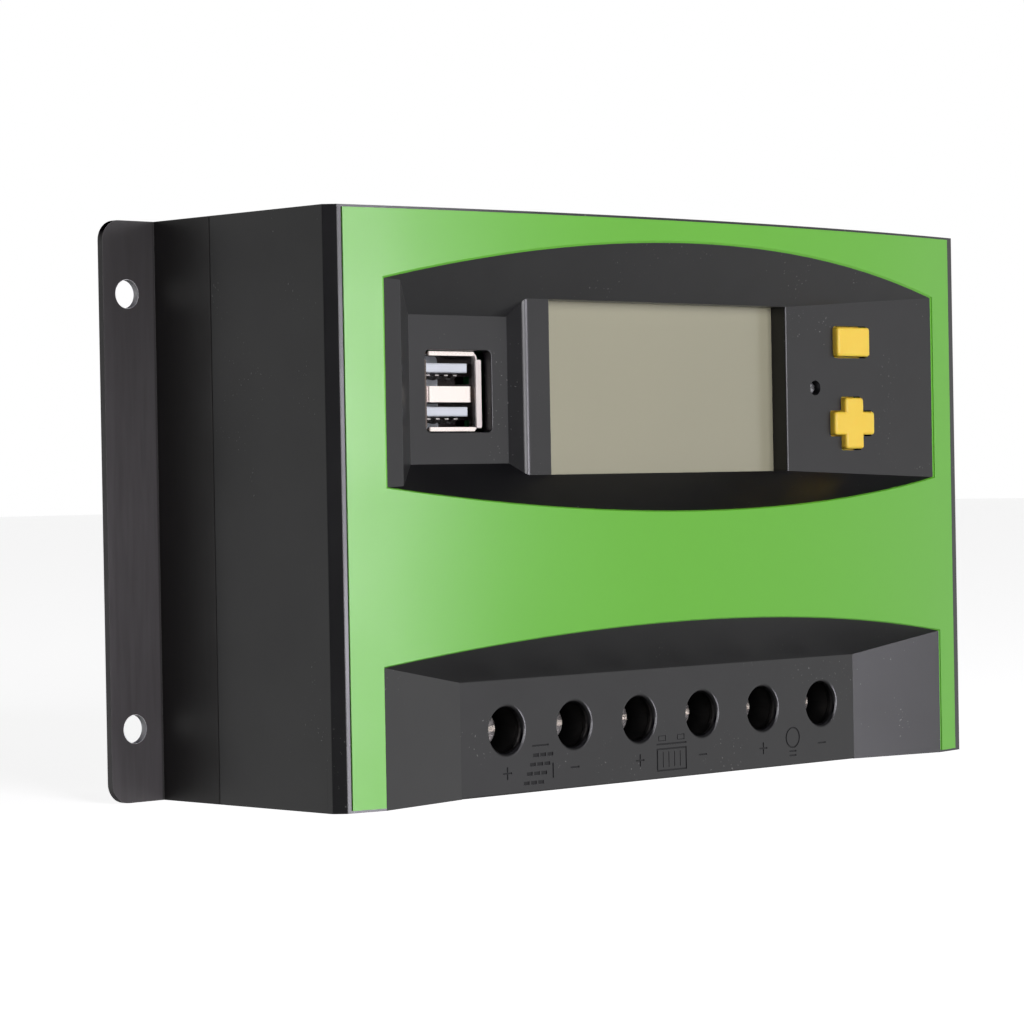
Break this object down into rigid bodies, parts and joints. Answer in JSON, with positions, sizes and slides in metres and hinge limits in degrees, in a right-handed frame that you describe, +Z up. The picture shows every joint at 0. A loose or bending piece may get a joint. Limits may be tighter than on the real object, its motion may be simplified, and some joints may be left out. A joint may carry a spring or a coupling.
{
  "type": "solar charge controller",
  "caption": "Wall-mounted solar charge controller with a bowed green front, display, USB outlet, yellow buttons and screw terminals.",
  "frame": {"origin": "middle of the four wall holes, on the wall plane", "axes": "+X right, -Y out of the wall towards the viewer, +Z up"},
  "size_m": [0.211, 0.0624, 0.114],
  "materials": {
    "pan_metal": "thin satin black coating on aluminium sheet",
    "housing_plastic": "moulded satin black ABS",
    "plate_green": "satin green printed film",
    "lcd_glass": "grey-green reflective display glass",
    "light_guide": "clear diffusing light guide",
    "elastomer": "soft grey silicone",
    "white_plastic": "white moulded frame",
    "circuit_board": "green solder mask on glass-fibre board",
    "zinc_steel": "bright zinc plating",
    "chip_plastic": "black moulding compound",
    "led_lens": "dark clear lens",
    "button_yellow": "yellow moulded plastic",
    "nickel_steel": "bright nickel plating",
    "gold_contact": "gold flash over phosphor bronze",
    "tongue_plastic": "pale blue-white moulded plastic",
    "brass_part": "plain turned brass",
    "capacitor_sleeve": "dark shrink sleeve",
    "fuse_plastic": "translucent green fuse body",
    "copper_bar": "tinned copper",
    "ferrite": "ferrite core",
    "terminal_plastic": "black glass-filled nylon",
    "cage_steel": "zinc-plated steel"
  },
  "bodies": {
    "case": {"rear_pan": "pan_metal", "housing_shell": "housing_plastic", "face_plate": "plate_green", "lcd_glass": "lcd_glass", "lcd_backlight": "light_guide", "lcd_contact_strip": "elastomer", "lcd_holder": "white_plastic", "display_board": "circuit_board", "display_screws": "zinc_steel", "display_chip": "chip_plastic", "status_led": "led_lens", "tactile_switches": "chip_plastic", "usb_shell": "nickel_steel", "usb_contacts": "gold_contact", "usb_insulator": "tongue_plastic", "usb_board": "circuit_board", "usb_screws": "zinc_steel", "usb_link": "chip_plastic", "main_board": "circuit_board", "board_standoffs": "brass_part", "board_screws": "zinc_steel", "housing_screws": "zinc_steel", "thermal_pad": "elastomer", "mosfets": "chip_plastic", "mosfet_screws": "zinc_steel", "bulk_capacitors": "capacitor_sleeve", "fuse_holders": "chip_plastic", "fuses": "fuse_plastic", "current_shunts": "copper_bar", "microcontroller": "chip_plastic", "gate_drivers": "chip_plastic", "buck_inductor": "ferrite", "display_link": "chip_plastic", "terminal_bars": "copper_bar", "terminal_block": "terminal_plastic"},
    "menu_button": {"button_menu": "button_yellow", "menu_switch_plunger": "chip_plastic"},
    "plus_button": {"button_plus": "button_yellow", "plus_switch_plunger": "chip_plastic"},
    "screw_1": {"terminal_screw_1": "nickel_steel"},
    "cage_1": {"terminal_cage_1": "cage_steel"},
    "screw_2": {"terminal_screw_2": "nickel_steel"},
    "cage_2": {"terminal_cage_2": "cage_steel"},
    "screw_3": {"terminal_screw_3": "nickel_steel"},
    "cage_3": {"terminal_cage_3": "cage_steel"},
    "screw_4": {"terminal_screw_4": "nickel_steel"},
    "cage_4": {"terminal_cage_4": "cage_steel"},
    "screw_5": {"terminal_screw_5": "nickel_steel"},
    "cage_5": {"terminal_cage_5": "cage_steel"},
    "screw_6": {"terminal_screw_6": "nickel_steel"},
    "cage_6": {"terminal_cage_6": "cage_steel"}
  },
  "joints": [
    {"name": "menu_press", "type": "slide", "parent": "case", "child": "menu_button", "axis": [0.0453, 0.999, 0], "range_m": [0, 0.0008], "stiffness_N_per_m": 2000, "springref_m": -0.0005},
    {"name": "plus_press", "type": "slide", "parent": "case", "child": "plus_button", "axis": [0.0453, 0.999, 0], "range_m": [0, 0.0008], "stiffness_N_per_m": 2000, "springref_m": -0.0005},
    {"name": "screw_1_turn", "type": "hinge", "parent": "case", "child": "screw_1", "pos_m": [-0.0461, -0.043, -0.0443], "axis": [0, 1, 0], "range_deg": [0, 2521]},
    {"name": "cage_1_rise", "type": "slide", "parent": "case", "child": "cage_1", "axis": [0, -1, 0], "range_m": [0, 0.0049]},
    {"name": "screw_2_turn", "type": "hinge", "parent": "case", "child": "screw_2", "pos_m": [-0.0273, -0.043, -0.0443], "axis": [0, 1, 0], "range_deg": [0, 2521]},
    {"name": "cage_2_rise", "type": "slide", "parent": "case", "child": "cage_2", "axis": [0, -1, 0], "range_m": [0, 0.0049]},
    {"name": "screw_3_turn", "type": "hinge", "parent": "case", "child": "screw_3", "pos_m": [-0.0085, -0.043, -0.0443], "axis": [0, 1, 0], "range_deg": [0, 2521]},
    {"name": "cage_3_rise", "type": "slide", "parent": "case", "child": "cage_3", "axis": [0, -1, 0], "range_m": [0, 0.0049]},
    {"name": "screw_4_turn", "type": "hinge", "parent": "case", "child": "screw_4", "pos_m": [0.0103, -0.043, -0.0443], "axis": [0, 1, 0], "range_deg": [0, 2521]},
    {"name": "cage_4_rise", "type": "slide", "parent": "case", "child": "cage_4", "axis": [0, -1, 0], "range_m": [0, 0.0049]},
    {"name": "screw_5_turn", "type": "hinge", "parent": "case", "child": "screw_5", "pos_m": [0.0291, -0.043, -0.0443], "axis": [0, 1, 0], "range_deg": [0, 2521]},
    {"name": "cage_5_rise", "type": "slide", "parent": "case", "child": "cage_5", "axis": [0, -1, 0], "range_m": [0, 0.0049]},
    {"name": "screw_6_turn", "type": "hinge", "parent": "case", "child": "screw_6", "pos_m": [0.0479, -0.043, -0.0443], "axis": [0, 1, 0], "range_deg": [0, 2521]},
    {"name": "cage_6_rise", "type": "slide", "parent": "case", "child": "cage_6", "axis": [0, -1, 0], "range_m": [0, 0.0049]}
  ],
  "couplings": [
    {"joint": "screw_1_turn", "follows": "cage_1_rise", "rad_per_m": 8976},
    {"joint": "screw_2_turn", "follows": "cage_2_rise", "rad_per_m": 8976},
    {"joint": "screw_3_turn", "follows": "cage_3_rise", "rad_per_m": 8976},
    {"joint": "screw_4_turn", "follows": "cage_4_rise", "rad_per_m": 8976},
    {"joint": "screw_5_turn", "follows": "cage_5_rise", "rad_per_m": 8976},
    {"joint": "screw_6_turn", "follows": "cage_6_rise", "rad_per_m": 8976}
  ]
}
